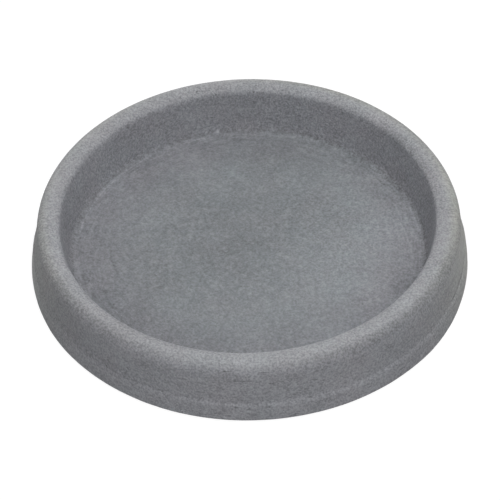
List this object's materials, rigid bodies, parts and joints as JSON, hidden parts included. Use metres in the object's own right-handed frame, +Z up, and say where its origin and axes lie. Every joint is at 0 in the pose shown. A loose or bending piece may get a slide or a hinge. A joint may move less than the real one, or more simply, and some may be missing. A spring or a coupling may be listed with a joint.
{
  "type": "plant saucer",
  "caption": "Round plant saucer with a flat floor, a thick rounded rim and a flared outer wall with a low ledge, for catching water under a plant pot.",
  "frame": {"origin": "centre of the ring that the saucer stands on, at the height of the ground", "axes": "+Z up along the axis of the round shape; +X and +Y lie in the ground, and the shape is the same in every direction round +Z"},
  "size_m": [0.2598, 0.2598, 0.0354],
  "materials": {
    "saucer_plastic": "matt stone-grey plastic with a fine sandy grain"
  },
  "bodies": {
    "root": {"saucer": "saucer_plastic"}
  },
  "joints": []
}
